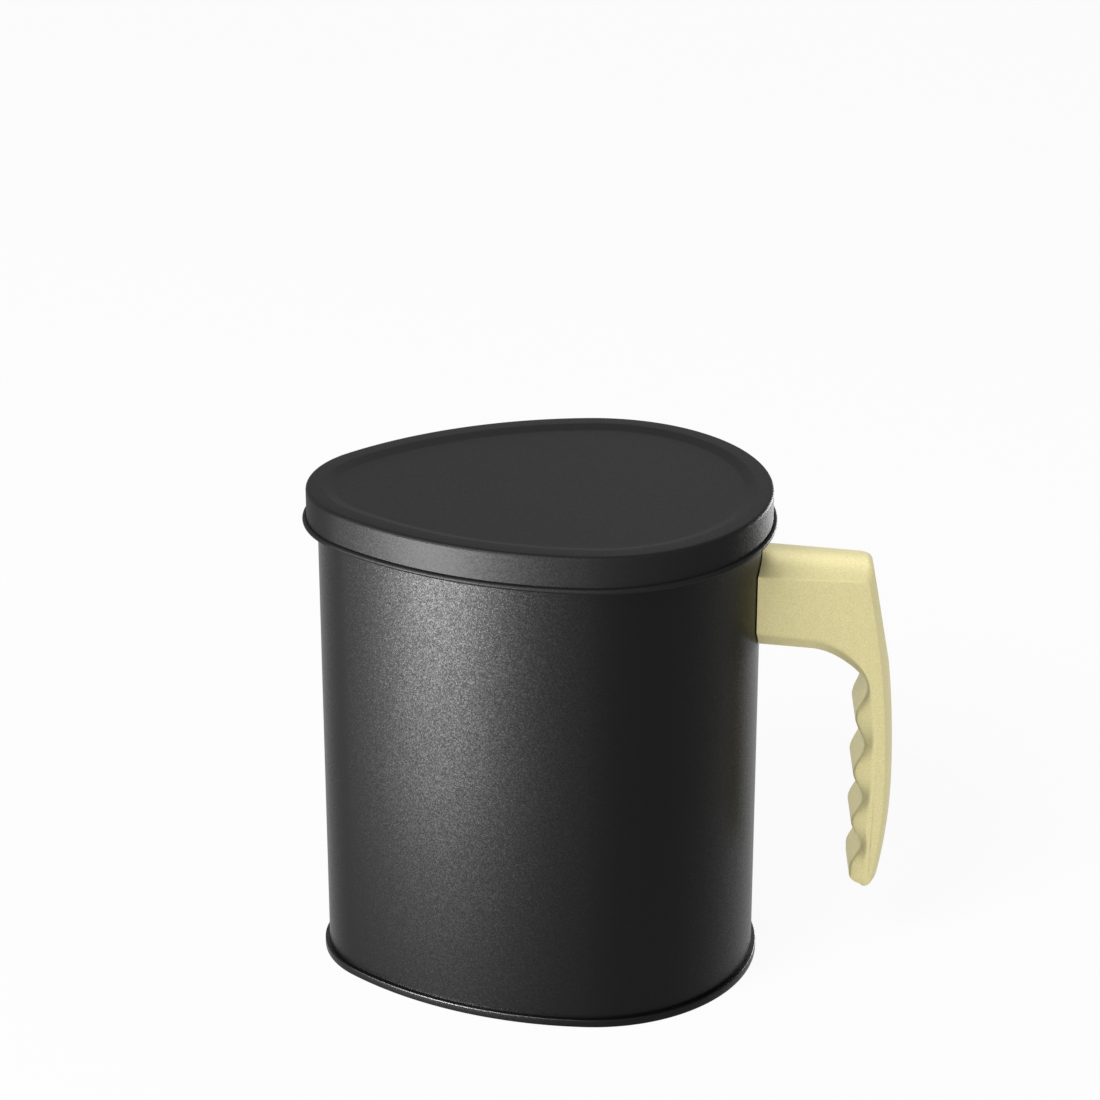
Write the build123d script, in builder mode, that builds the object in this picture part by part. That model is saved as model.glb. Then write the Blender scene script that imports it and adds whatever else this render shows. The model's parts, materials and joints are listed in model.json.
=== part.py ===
from build123d import *

import math
import os

os.makedirs("parts", exist_ok=True)

# A kitchen container for bacon grease, in millimetres. The pot stands on z = 0 with its pouring
# nose towards -X and its handle towards +X. The origin is under the middle of the footprint box.

# Plan outline of the wall's outside face: an egg of four tangent arcs
blunt_radius = 51.1
nose_radius = 28.9
nose_distance = 55.4
side_radius = 115.4

# Pot
pot_height = 157.0
wall_sheet = 0.45
bottom_sheet = 0.45
rim_bead_radius = 1.5
curl_turn = 295.0
seam_height = 2.6
seam_pocket = 0.5
seam_corner = 0.4
fold_gap = 0.03
bottom_recess = 1.8
bottom_bend = 0.9
bottom_lap = 6.0

# Strainer
strainer_sheet = 0.45
strainer_bead_radius = 1.4
strainer_lap = 0.8
strainer_depth = 19.0
strainer_bottom_round = 3.0
nose_rise = 3.0
nose_slope_length = 14.0
nose_slope_end = 49.5
channel_depth = 1.0
channel_width = 8.0
outer_channel_start = (-59.0, 28.0)
outer_channel_end = (-49.0, 25.5)
inner_channel_start = (-73.0, 12.5)
inner_channel_end = (-54.0, 10.5)
seat_offset = 4.2
seat_radius = 42.6
seat_fold_radius = 1.2
seat_drop = 2.6
seat_ledge = 4.4
mesh_thickness = 0.5
mesh_pitch = 4.1
mesh_hole = 3.2
ring_width = 1.1
ring_height = 1.0
ring_clearance = 0.1

# Lid
lid_sheet = 0.45
lid_skirt = 11.5
lid_hem_radius = 0.85
lid_rim_clearance = 0.35
lid_corner_round = 1.2
lid_ledge_width = 5.4
lid_slope_width = 3.5
lid_recess = 1.0
lid_bend = 0.8

# How far the strainer and the lid stand off what they rest on
seat_gap = 0.2

# Handle
handle_reach = 93.7
handle_back_height = 62.0
handle_back_upper_radius = 345.0
handle_back_lower_radius = 175.0
handle_crown = 2.7
back_turn = 24.0
handle_flat_depth = 0.6
handle_flat_bottom = 101.0
handle_corner_round = 2.5
grip_half_width = 11.3
arm_half_width = 13.2
ridge_half_width = 9.0
grip_depth = 12.6
grip_bottom = 27.2
grip_toe_round = 4.5
bevel_at_pot = 6.2
inner_bevel = 4.4
arm_crest_height = 138.6
arm_bottom_height = 110.6
arm_slope = 5.0
elbow_run = 14.6
elbow_points = [(-3.1, 0.046)]
bevel_points = [(-0.7, 0.025), (2.8, 0.093), (5.1, 0.223), (5.9, 0.52), (5.2, 0.73)]
scallop_depth = 3.1
scallop_count = 4
scallop_first = 0.153
scallop_spacing = 0.1265
scallop_closing = 0.0052
grip_gap = 0.3

# Handle fastening
screw_height = 124.6
screw_radius = 2.0
screw_clearance = 0.3
thread_clearance = 0.05
screw_head_radius = 3.8
screw_head_height = 2.4
screw_head_round = 0.8
driver_slot_width = 1.1
driver_slot_length = 4.4
driver_slot_depth = 1.5
counterbore_radius = 4.2
counterbore_depth = 5.0
washer_thickness = 1.0
washer_radius = 3.9
washer_slit = 0.8
nut_width = 7.0
nut_thickness = 3.2
screw_past_nut = 1.0
screw_tip_chamfer = 0.4
bracket_sheet = 1.2
bracket_length = 20.0
bracket_height = 16.0
bracket_half_width = 6.0
bracket_flange = 3.4
bracket_bend = 1.0
cavity_clearance = 0.4


# Places worked out from the sizes above
mouth_offset = -wall_sheet
rim_bead_offset = mouth_offset + rim_bead_radius
rim_bead_height = pot_height - rim_bead_radius
lid_skirt_offset = rim_bead_offset + rim_bead_radius + lid_rim_clearance
lid_reach = lid_skirt_offset + 2 * lid_hem_radius
blunt_x = (nose_distance + nose_radius + lid_reach - handle_reach) / 2


def heading(degrees):
    """The level unit vector that points at an angle from +X."""
    return Vector(math.cos(math.radians(degrees)), math.sin(math.radians(degrees)), 0)


# The side arcs' centres lie where both neighbours are touched from inside
blunt_to_side = side_radius - blunt_radius
nose_to_side = side_radius - nose_radius
side_back = (nose_to_side**2 - blunt_to_side**2 - nose_distance**2) / (2 * nose_distance)
side_across = math.sqrt(blunt_to_side**2 - side_back**2)
blunt_half_angle = math.degrees(math.atan2(side_across, -side_back))
nose_half_angle = math.degrees(math.atan2(side_across, -nose_distance - side_back))

# Each stretch of the outline: centre, radius, first and last heading
plan_arcs = [
    (Vector(blunt_x, 0, 0), blunt_radius, -blunt_half_angle, blunt_half_angle),
    (Vector(blunt_x + side_back, -side_across, 0), side_radius, blunt_half_angle, nose_half_angle),
    (Vector(blunt_x - nose_distance, 0, 0), nose_radius, nose_half_angle, 360 - nose_half_angle),
    (Vector(blunt_x + side_back, side_across, 0), side_radius, 360 - nose_half_angle, 360 - blunt_half_angle),
]


def plan_face(grow):
    """The plan outline as a flat face, moved outwards all round by grow."""
    with BuildSketch() as face:
        with BuildLine():
            for centre, radius, first, last in plan_arcs:
                CenterArc(centre, radius + grow, first, last - first)
        make_face()
    return face.sketch


def carried_round(section):
    """The section, drawn as (distance out from the wall, height), turned about each plan arc in turn."""
    with BuildPart() as ring:
        for centre, radius, first, last in plan_arcs:
            outwards = heading(first)
            upright = Plane(origin=centre, x_dir=outwards, z_dir=outwards.cross(Vector(0, 0, 1)))
            with BuildSketch(upright):
                with Locations((radius, 0)):
                    add(section)
            revolve(axis=Axis(centre, (0, 0, 1)), revolution_arc=last - first)
    return ring.part


def finish(piece, name):
    """Label a finished piece and write it to its own file."""
    piece.part.label = name
    export_step(piece.part, f"parts/{name}.step")


# Layers of the bottom seam, from the inside out
chuck_inner = -wall_sheet - fold_gap - bottom_sheet
end_hook_outer = fold_gap + bottom_sheet
body_hook_inner = end_hook_outer + fold_gap
body_hook_outer = body_hook_inner + wall_sheet
seam_outer = body_hook_outer + fold_gap + bottom_sheet
wall_foot = bottom_sheet + fold_gap
pocket_top = seam_height - bottom_sheet
body_hook_top = pocket_top - seam_pocket
end_hook_foot = wall_foot + wall_sheet + fold_gap

# Pot wall: one rolled sheet, curled outwards at the mouth and hooked at the foot
with BuildSketch() as wall_section:
    with BuildLine():
        Polyline(
            (-wall_sheet, rim_bead_height),
            (-wall_sheet, wall_foot),
            (body_hook_outer, wall_foot),
            (body_hook_outer, body_hook_top),
            (body_hook_inner, body_hook_top),
            (body_hook_inner, wall_foot + wall_sheet),
            (0, wall_foot + wall_sheet),
            (0, rim_bead_height),
        )
        curl_centre = (rim_bead_offset, rim_bead_height)
        curl_inside = CenterArc(curl_centre, rim_bead_radius - wall_sheet, 180, -curl_turn)
        curl_outside = CenterArc(curl_centre, rim_bead_radius, 180, -curl_turn)
        Line(curl_inside @ 1, curl_outside @ 1)
    make_face()

with BuildPart() as pot_wall:
    add(carried_round(wall_section.sketch))
finish(pot_wall, "pot_wall")

# Pot bottom: a recessed panel whose rim is folded round the wall's foot
with BuildSketch() as seam_section:
    with BuildLine():
        Polyline(
            (-bottom_lap, bottom_recess),
            (chuck_inner, bottom_recess),
            (chuck_inner, 0),
            (seam_outer, 0),
            (seam_outer, seam_height),
            (fold_gap, seam_height),
            (fold_gap, end_hook_foot),
            (end_hook_outer, end_hook_foot),
            (end_hook_outer, pocket_top),
            (seam_outer - bottom_sheet, pocket_top),
            (seam_outer - bottom_sheet, bottom_sheet),
            (-wall_sheet - fold_gap, bottom_sheet),
            (-wall_sheet - fold_gap, bottom_recess + bottom_sheet),
            (-bottom_lap, bottom_recess + bottom_sheet),
            close=True,
        )
    make_face()
    seam_bends = [
        ((chuck_inner, 0), seam_corner),
        ((seam_outer, 0), seam_corner),
        ((seam_outer, seam_height), seam_corner),
        ((chuck_inner, bottom_recess), bottom_bend - bottom_sheet),
        ((-wall_sheet - fold_gap, bottom_recess + bottom_sheet), bottom_bend),
    ]
    for corner, bend in seam_bends:
        fillet(seam_section.vertices().sort_by_distance(corner)[0], bend)

with BuildPart() as pot_bottom:
    add(carried_round(seam_section.sketch))
    with BuildSketch(Plane.XY.offset(bottom_recess)):
        add(plan_face(-bottom_lap))
    extrude(amount=bottom_sheet)
finish(pot_bottom, "pot_bottom")

# Sealing compound: a thin ring in the pocket above the wall's hook
with BuildSketch() as compound_section:
    compound_low = (body_hook_inner, body_hook_top + fold_gap)
    with Locations(compound_low):
        Rectangle(wall_sheet, seam_pocket - 2 * fold_gap, align=(Align.MIN, Align.MIN))

with BuildPart() as seam_compound:
    add(carried_round(compound_section.sketch))
finish(seam_compound, "seam_compound")


# Strainer: its rim bead rests on the inner shoulder of the pot's rim bead
strainer_bead_offset = mouth_offset + strainer_lap - strainer_bead_radius
bead_distance = rim_bead_radius + strainer_bead_radius + seat_gap
bead_step = rim_bead_offset - strainer_bead_offset
strainer_bead_height = rim_bead_height + math.sqrt(bead_distance**2 - bead_step**2)
strainer_top = strainer_bead_height + strainer_bead_radius
floor_height = strainer_top - strainer_depth
tray_inner = strainer_bead_offset - strainer_bead_radius
tray_outer = tray_inner + strainer_sheet
seat_x = blunt_x - seat_offset
seat_flange_top = floor_height - seat_drop + strainer_sheet


def channel_plan(start, end, width):
    """A round-ended channel between two places given from the blunt arc's centre."""
    middle = ((start[0] + end[0]) / 2 + blunt_x, (start[1] + end[1]) / 2)
    run = Vector(end[0] - start[0], end[1] - start[1], 0)
    turn = math.degrees(math.atan2(run.Y, run.X))
    with BuildSketch() as slot:
        with Locations(middle):
            SlotCenterToCenter(run.length, width, rotation=turn)
    return slot.sketch


def nose_wedge(sink):
    """What is cut off under the raised nose, in side view from the floor's height: all below its slope."""
    low_end = blunt_x - nose_slope_end
    high_end = low_end - nose_slope_length
    far_end = blunt_x - nose_distance - 2 * nose_radius
    with BuildSketch() as wedge:
        with BuildLine():
            Polyline(
                (low_end, -sink),
                (high_end, nose_rise - sink),
                (far_end, nose_rise - sink),
                (far_end, -strainer_depth),
                (low_end, -strainer_depth),
                close=True,
            )
        make_face()
    return wedge.sketch


def tray_body(outline, floor, sink=0.0):
    """A solid of the tray's outer or inner shape, with a rounded foot; sink lowers its whole floor."""
    with BuildPart() as body:
        with BuildSketch(Plane.XY.offset(floor - sink)):
            add(plan_face(outline))
        extrude(amount=strainer_bead_height - floor + sink)
        with BuildSketch(Plane.XZ):
            with Locations((0, floor)):
                add(nose_wedge(sink))
        extrude(amount=blunt_radius + side_radius, both=True, mode=Mode.SUBTRACT)
        floor_edges = body.faces().filter_by(lambda face: face.normal_at().Z < -0.5).edges()
        foot_edges = [edge for edge in floor_edges if sum(edge.is_same(other) for other in floor_edges) == 1]
        fillet(foot_edges, strainer_bottom_round - tray_outer + outline)
    return body.part


def channels(width, outline, floor):
    """Four sunk channels: where their plans meet the tray's shape moved down by the channels' depth."""
    with BuildPart() as four:
        with BuildSketch(Plane.XY.offset(floor - channel_depth - strainer_bottom_round)):
            add(channel_plan(outer_channel_start, outer_channel_end, width))
            add(channel_plan(inner_channel_start, inner_channel_end, width))
            mirror(about=Plane.XZ)
        extrude(amount=nose_rise + channel_depth + 2 * strainer_bottom_round)
        add(tray_body(outline, floor, channel_depth), mode=Mode.INTERSECT)
    return four.part


# Section of the curled rim, drawn from the tray's wall outwards
with BuildSketch() as tray_rim_section:
    with BuildLine():
        bead_centre = (strainer_bead_offset, strainer_bead_height)
        bead_inside = CenterArc(bead_centre, strainer_bead_radius - strainer_sheet, 180, -curl_turn)
        bead_outside = CenterArc(bead_centre, strainer_bead_radius, 180, -curl_turn)
        Line(bead_inside @ 1, bead_outside @ 1)
        Line(bead_inside @ 0, bead_outside @ 0)
    make_face()

# Section of the round seat, drawn outwards from the seat's middle: the floor folds down to a flange
floor_under = floor_height - strainer_sheet
flange_under = floor_height - seat_drop
fold_start = seat_radius + 2 * seat_fold_radius
with BuildSketch() as seat_section:
    with BuildLine():
        Polyline(
            (fold_start, floor_height),
            (seat_radius, floor_height),
            (seat_radius, seat_flange_top),
            (seat_radius - seat_ledge, seat_flange_top),
            (seat_radius - seat_ledge, flange_under),
            (seat_radius + strainer_sheet, flange_under),
            (seat_radius + strainer_sheet, floor_under),
            (fold_start, floor_under),
            close=True,
        )
    make_face()
    seat_bends = [
        ((seat_radius, floor_height), seat_fold_radius),
        ((seat_radius + strainer_sheet, floor_under), seat_fold_radius - strainer_sheet),
        ((seat_radius + strainer_sheet, flange_under), strainer_sheet),
    ]
    for corner, bend in seat_bends:
        fillet(seat_section.vertices().sort_by_distance(corner)[0], bend)

# Strainer tray: pressed from one sheet
with BuildPart() as strainer_tray:
    add(tray_body(tray_outer, floor_height - strainer_sheet))
    add(channels(channel_width + 2 * strainer_sheet, tray_outer, floor_height - strainer_sheet))
    add(tray_body(tray_inner, floor_height), mode=Mode.SUBTRACT)
    add(channels(channel_width, tray_inner, floor_height), mode=Mode.SUBTRACT)
    with BuildSketch(Plane.XY.offset(floor_height - seat_drop)):
        with Locations((seat_x, 0)):
            Circle(seat_radius + seat_fold_radius)
    extrude(amount=2 * seat_drop, mode=Mode.SUBTRACT)
    with BuildSketch(Plane(origin=(seat_x, 0, 0), x_dir=(1, 0, 0), z_dir=(0, -1, 0))):
        add(seat_section.sketch)
    revolve(axis=Axis((seat_x, 0, 0), (0, 0, 1)))
    add(carried_round(tray_rim_section.sketch))
finish(strainer_tray, "strainer_tray")

# Strainer mesh: a disc with a square grid of gaps inside the seat's ledge
mesh_edge = seat_radius - ring_clearance
mesh_clear = seat_radius - seat_ledge
cell_steps = range(-math.floor(mesh_clear / mesh_pitch), math.floor(mesh_clear / mesh_pitch) + 1)
gap_corner = mesh_hole / 2
mesh_gaps = [
    (column * mesh_pitch, row * mesh_pitch)
    for column in cell_steps
    for row in cell_steps
    if math.hypot(abs(column) * mesh_pitch + gap_corner, abs(row) * mesh_pitch + gap_corner) < mesh_clear
]
with BuildPart() as strainer_mesh:
    with BuildSketch(Plane.XY.offset(seat_flange_top)):
        with Locations((seat_x, 0)):
            Circle(mesh_edge)
            with Locations(*mesh_gaps):
                Rectangle(mesh_hole, mesh_hole, mode=Mode.SUBTRACT)
    extrude(amount=mesh_thickness)
finish(strainer_mesh, "strainer_mesh")

# Ring that holds the mesh down in its seat
with BuildPart() as mesh_ring:
    with BuildSketch(Plane.XY.offset(seat_flange_top + mesh_thickness)):
        with Locations((seat_x, 0)):
            Circle(mesh_edge)
            Circle(mesh_edge - ring_width, mode=Mode.SUBTRACT)
    extrude(amount=ring_height)
    fillet(mesh_ring.edges().group_by(Axis.Z)[-1], ring_width / 4)
finish(mesh_ring, "mesh_ring")

# Lid: a skirt with a hemmed foot, a flat ledge over the strainer's rim and a slightly sunk panel
lid_under = strainer_top + seat_gap
lid_top = lid_under + lid_sheet
lid_skirt_outer = lid_skirt_offset + lid_sheet
lid_hem_height = lid_top - lid_skirt + lid_hem_radius
lid_slope_start = lid_skirt_outer - lid_ledge_width
lid_slope_foot = lid_slope_start - lid_slope_width
lid_lap = lid_slope_foot - 2 * lid_bend
with BuildSketch() as lid_section:
    with BuildLine():
        hem_centre = (lid_skirt_offset + lid_hem_radius, lid_hem_height)
        hem_inside = CenterArc(hem_centre, lid_hem_radius - lid_sheet, 180, curl_turn)
        hem_outside = CenterArc(hem_centre, lid_hem_radius, 180, curl_turn)
        Line(hem_inside @ 1, hem_outside @ 1)
        Polyline(
            hem_inside @ 0,
            (lid_skirt_outer, lid_top),
            (lid_slope_start, lid_top),
            (lid_slope_foot, lid_top - lid_recess),
            (lid_lap, lid_top - lid_recess),
            (lid_lap, lid_under - lid_recess),
            (lid_slope_foot, lid_under - lid_recess),
            (lid_slope_start, lid_under),
            (lid_skirt_offset, lid_under),
            hem_outside @ 0,
        )
    make_face()
    lid_bends = [
        ((lid_skirt_outer, lid_top), lid_corner_round),
        ((lid_skirt_offset, lid_under), lid_corner_round - lid_sheet),
        ((lid_slope_start, lid_top), lid_bend),
        ((lid_slope_foot, lid_top - lid_recess), lid_bend),
    ]
    for corner, bend in lid_bends:
        fillet(lid_section.vertices().sort_by_distance(corner)[0], bend)

with BuildPart() as lid:
    add(carried_round(lid_section.sketch))
    with BuildSketch(Plane.XY.offset(lid_under - lid_recess)):
        add(plan_face(lid_lap))
    extrude(amount=lid_sheet)
finish(lid, "lid")


# Handle, drawn in side view with X from the blunt arc's centre
grip_front = handle_reach - grip_depth
slope_fall = math.tan(math.radians(arm_slope))
crown_radius = (grip_half_width**2 + handle_crown**2) / (2 * handle_crown)


def arm_line(height, reach):
    """The height, at some reach, of a line that slopes with the arm and has this height at the wall."""
    return height - (reach - blunt_radius) * slope_fall


def back_line(height):
    """The reach of the handle's back, along its crest, at some height above the grip's widest point."""
    climb = height - handle_back_height
    return handle_reach - handle_back_upper_radius + math.sqrt(handle_back_upper_radius**2 - climb**2)


def down_grip(fraction):
    """The height at a fraction of the way from the arm's underside down to the grip's end."""
    elbow = arm_line(arm_bottom_height, grip_front)
    return elbow - fraction * (elbow - grip_bottom)


def side_outline(bevel, inner_line):
    """The handle's side view with square top and back; bevel lifts its arm's underside at the pot."""
    root = blunt_radius - grip_depth
    toe_x = inner_line[-1][0]
    toe_height = grip_bottom + grip_toe_round
    with BuildSketch() as outline:
        with BuildLine():
            wave = Spline(*inner_line, (toe_x, toe_height), tangents=[(1, -slope_fall), (0, -1)])
            CenterArc((toe_x + grip_toe_round, toe_height), grip_toe_round, 180, 90)
            Polyline(
                (toe_x + grip_toe_round, grip_bottom),
                (handle_reach, grip_bottom),
                (handle_reach, arm_line(arm_crest_height, root)),
                (root, arm_line(arm_crest_height, root)),
                (root, arm_line(arm_bottom_height, root) + bevel),
                wave @ 0,
            )
        make_face()
    return outline.sketch


def crowned(depth):
    """A flat face under a shallow arch that points along +Y, as deep as asked."""
    with BuildSketch() as face:
        with Locations((0, -crown_radius)):
            Circle(crown_radius)
            Rectangle(2 * crown_radius, depth - crown_radius, align=(Align.CENTER, Align.MAX))
    return face.sketch


def side_plane(side):
    """The upright plane of one side of the handle, turned so that the arm is wider at the pot."""
    spread = (arm_half_width - grip_half_width) / (handle_reach - blunt_radius)
    along = Vector(1, -side * spread, 0).normalized()
    start = Vector(blunt_x, side * (arm_half_width + blunt_radius * spread), 0)
    return Plane(origin=start, x_dir=along, z_dir=along.cross(Vector(0, 0, 1)))


def ridge_plane(side):
    """The upright plane where one side's inner bevel meets the grip's flat inner edge."""
    return Plane(origin=(blunt_x, side * ridge_half_width, 0), x_dir=(1, 0, 0), z_dir=(0, -1, 0))


# The grip's inner edge waves between finger valleys and crests that come closer downwards
elbow_start = grip_front - elbow_run
wavy_line = [(elbow_start, arm_line(arm_bottom_height, elbow_start))]
wavy_line += [(grip_front + depth, down_grip(fraction)) for depth, fraction in elbow_points]
for step in range(2 * scallop_count):
    fraction = scallop_first + step * scallop_spacing - scallop_closing * step * (step - 1) / 2
    depth = scallop_depth if step % 2 == 0 else 0
    wavy_line.append((grip_front + depth, down_grip(fraction)))

# The bevel beside it ends in a smooth line
smooth_line = [(elbow_start, arm_line(arm_bottom_height + inner_bevel, elbow_start))]
smooth_line += [(grip_front + depth, down_grip(fraction)) for depth, fraction in bevel_points]

# Bracket, nut and screw lie in line behind the arm's root, again from the blunt arc's centre
bracket_end = blunt_radius + bracket_length
head_seat = back_line(screw_height) - counterbore_depth
head_under = head_seat + washer_thickness
nut_face = bracket_end - bracket_sheet
screw_tip = nut_face - nut_thickness - screw_past_nut
across_screw = Plane(origin=(blunt_x, 0, screw_height), x_dir=(0, 1, 0), z_dir=(1, 0, 0))
side_view = Plane(origin=(blunt_x, 0, 0), x_dir=(1, 0, 0), z_dir=(0, -1, 0))

# Handle: one moulding with bevelled inner edges, a crowned top and back, and a hollow arm
with BuildPart() as handle_grip:
    stations = [
        (side_plane(-1), bevel_at_pot, smooth_line),
        (ridge_plane(-1), 0, wavy_line),
        (ridge_plane(1), 0, wavy_line),
        (side_plane(1), bevel_at_pot, smooth_line),
    ]
    for upright, bevel, inner_line in stations:
        with BuildSketch(upright):
            add(side_outline(bevel, inner_line))
    loft(ruled=True)
    # crowned top
    down_arm = (1, 0, -slope_fall)
    crest_at_wall = (blunt_x + blunt_radius, 0, arm_crest_height)
    with BuildSketch(Plane(origin=crest_at_wall, x_dir=(0, 1, 0), z_dir=down_arm)):
        add(crowned(arm_crest_height))
    extrude(amount=handle_reach, both=True, mode=Mode.INTERSECT)
    # crowned back, turned about a far level axis above its widest point and a nearer one below
    with BuildPart(mode=Mode.PRIVATE) as back:
        widest_point = (blunt_x + handle_reach, 0, handle_back_height)
        widest = Plane(origin=widest_point, x_dir=(0, -1, 0), z_dir=(0, 0, 1))
        for radius, way in [(handle_back_upper_radius, -1), (handle_back_lower_radius, 1)]:
            with BuildSketch(widest):
                add(crowned(radius))
            centre = (blunt_x + handle_reach - radius, 0, handle_back_height)
            revolve(axis=Axis(centre, (0, way, 0)), revolution_arc=back_turn)
    add(back.part, mode=Mode.INTERSECT)
    # rounded corner above the back, and rounded heel
    top_edges = handle_grip.edges().filter_by(lambda edge: abs(edge.center().Y) < ridge_half_width)
    fillet(top_edges.sort_by(Axis.Z)[-1], handle_corner_round)
    # shallow flat on the upper back
    with BuildSketch(side_view):
        with BuildLine():
            flat_top = arm_line(arm_crest_height, handle_reach)
            Polyline(
                (back_line(handle_flat_bottom), handle_flat_bottom),
                (back_line(flat_top) - handle_flat_depth, flat_top),
                (back_line(flat_top) - handle_flat_depth, arm_crest_height),
                (handle_reach, arm_crest_height),
                (handle_reach, handle_flat_bottom),
                close=True,
            )
        make_face()
    extrude(amount=arm_half_width, both=True, mode=Mode.SUBTRACT)
    # root that follows the pot's wall, and room for the bracket
    with BuildSketch():
        add(plan_face(grip_gap))
    extrude(amount=pot_height, mode=Mode.SUBTRACT)
    cavity_half_width = bracket_half_width + bracket_flange + cavity_clearance
    with BuildSketch(across_screw):
        Rectangle(2 * cavity_half_width, bracket_height + 2 * cavity_clearance)
    extrude(amount=bracket_end, mode=Mode.SUBTRACT)
    # hole for the screw and a wider one for its head
    with BuildSketch(across_screw):
        Circle(screw_radius + screw_clearance)
    extrude(amount=handle_reach, mode=Mode.SUBTRACT)
    with BuildSketch(across_screw.offset(head_seat)):
        Circle(counterbore_radius)
    extrude(amount=handle_reach - head_seat, mode=Mode.SUBTRACT)
finish(handle_grip, "handle_grip")

# Handle bracket: a strip bent to a U, with two flanges spot-welded to the pot's wall
with BuildPart() as handle_bracket:
    bracket_foot = Plane(origin=(blunt_x, 0, screw_height - bracket_height / 2), z_dir=(0, 0, 1))
    with BuildSketch(bracket_foot) as bracket_plan:
        Circle(blunt_radius + bracket_sheet)
        Rectangle(
            bracket_end,
            2 * (bracket_half_width + bracket_flange),
            align=(Align.MIN, Align.CENTER),
            mode=Mode.INTERSECT,
        )
        Rectangle(bracket_end, 2 * bracket_half_width, align=(Align.MIN, Align.CENTER))
        Rectangle(
            nut_face,
            2 * (bracket_half_width - bracket_sheet),
            align=(Align.MIN, Align.CENTER),
            mode=Mode.SUBTRACT,
        )
        fillet(bracket_plan.vertices().group_by(Axis.X)[-1], bracket_bend + bracket_sheet)
        for side in (-1, 1):
            inner_corner = (nut_face, side * (bracket_half_width - bracket_sheet))
            fillet(bracket_plan.vertices().sort_by_distance(inner_corner)[0], bracket_bend)
        Circle(blunt_radius, mode=Mode.SUBTRACT)
    extrude(amount=bracket_height)
    with BuildSketch(across_screw):
        Circle(screw_radius + screw_clearance)
    extrude(amount=bracket_end, mode=Mode.SUBTRACT)
finish(handle_bracket, "handle_bracket")

# Hexagonal nut welded to the pot's side of the bracket's end
with BuildPart() as bracket_nut:
    with BuildSketch(across_screw.offset(nut_face - nut_thickness)):
        RegularPolygon(nut_width / 2, 6, major_radius=False)
        Circle(screw_radius + thread_clearance, mode=Mode.SUBTRACT)
    extrude(amount=nut_thickness)
finish(bracket_nut, "bracket_nut")

# Screw with a round head and a cross recess
with BuildPart() as handle_screw:
    with BuildSketch(across_screw.offset(screw_tip)):
        Circle(screw_radius)
    extrude(amount=head_under - screw_tip)
    chamfer(handle_screw.edges().group_by(Axis.X)[0], screw_tip_chamfer)
    with BuildSketch(across_screw.offset(head_under)):
        Circle(screw_head_radius)
    extrude(amount=screw_head_height)
    fillet(handle_screw.edges().group_by(Axis.X)[-1], screw_head_round)
    with BuildSketch(across_screw.offset(head_under + screw_head_height)):
        Rectangle(driver_slot_length, driver_slot_width)
        Rectangle(driver_slot_width, driver_slot_length)
    extrude(amount=-driver_slot_depth, mode=Mode.SUBTRACT)
finish(handle_screw, "handle_screw")

# Split spring washer under the screw's head
with BuildPart() as screw_washer:
    with BuildSketch(across_screw.offset(head_seat)):
        Circle(washer_radius)
        Circle(screw_radius + screw_clearance, mode=Mode.SUBTRACT)
        Rectangle(washer_slit, washer_radius, align=(Align.CENTER, Align.MIN), mode=Mode.SUBTRACT)
    extrude(amount=washer_thickness)
finish(screw_washer, "screw_washer")
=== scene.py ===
# %% [markdown]
# # A bacon grease container
# The object is a coated steel pot with an egg-shaped plan, a strainer that sits in its mouth, a lid
# and a moulded handle. The solids that give its real size are loaded first. Each thin pressed piece
# is then made again as a smooth surface, because a satin coating shows every facet in its highlights.

# %% Imports and the frame
import json
import math

import bpy
import numpy as np
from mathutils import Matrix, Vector

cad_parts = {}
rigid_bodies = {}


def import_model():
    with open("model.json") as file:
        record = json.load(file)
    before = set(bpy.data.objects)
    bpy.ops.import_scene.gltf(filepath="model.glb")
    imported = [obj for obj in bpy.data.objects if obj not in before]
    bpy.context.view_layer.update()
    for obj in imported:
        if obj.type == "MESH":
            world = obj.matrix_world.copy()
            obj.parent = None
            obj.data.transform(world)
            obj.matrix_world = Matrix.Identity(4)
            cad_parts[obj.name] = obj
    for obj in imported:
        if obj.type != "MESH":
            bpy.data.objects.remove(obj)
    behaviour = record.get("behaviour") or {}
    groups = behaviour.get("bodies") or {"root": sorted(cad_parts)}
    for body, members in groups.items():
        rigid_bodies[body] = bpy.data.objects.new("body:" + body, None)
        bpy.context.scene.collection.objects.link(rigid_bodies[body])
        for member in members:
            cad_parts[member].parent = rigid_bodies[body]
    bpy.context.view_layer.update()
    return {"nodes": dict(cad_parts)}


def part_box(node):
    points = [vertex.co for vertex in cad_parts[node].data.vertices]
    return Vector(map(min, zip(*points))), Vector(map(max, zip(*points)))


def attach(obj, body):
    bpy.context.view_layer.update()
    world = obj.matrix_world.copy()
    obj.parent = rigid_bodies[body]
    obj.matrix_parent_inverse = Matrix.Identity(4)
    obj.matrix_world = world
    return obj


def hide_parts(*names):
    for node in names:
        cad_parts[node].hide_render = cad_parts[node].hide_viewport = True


MM = 0.001
# Blender may start with a cube, a lamp and a camera of its own.
for leftover in list(bpy.data.objects):
    bpy.data.objects.remove(leftover)
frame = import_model()

# %% [markdown]
# ## The plan outline
# The pot is rolled round four tangent arcs: a wide one at the handle, a narrow one at the pouring
# nose, and two long ones at the sides. Written as arcs, the outline can be moved outwards by any
# distance exactly, by adding that distance to each radius, so all the rims and walls share it.

# %% Four arcs
BLUNT_RADIUS = 51.1
NOSE_RADIUS = 28.9
NOSE_DISTANCE = 55.4
SIDE_RADIUS = 115.4
WALL_SHEET = 0.45
PLAN_STEPS = 520

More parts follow.
